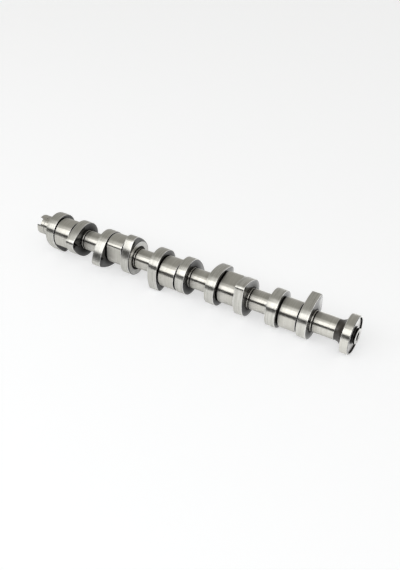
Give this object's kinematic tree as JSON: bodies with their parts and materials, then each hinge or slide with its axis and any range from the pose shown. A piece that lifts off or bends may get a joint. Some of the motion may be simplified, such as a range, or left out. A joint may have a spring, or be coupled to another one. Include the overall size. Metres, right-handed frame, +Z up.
{
  "type": "camshaft",
  "caption": "Cast engine camshaft with valve lobes and wide injector cams between ground journals, a slotted drive end, and a gear flange with a centre boss.",
  "frame": {"origin": "on the bearing axis, at the middle of the centre journal", "axes": "+X along the bearing axis from the slotted drive end to the gear flange; +Z up as the shaft lies at rest"},
  "size_m": [0.493, 0.0672, 0.0687],
  "materials": {
    "ground_iron": "ground on the running surfaces, as cast between them"
  },
  "bodies": {
    "root": {"camshaft": "ground_iron"}
  },
  "joints": []
}
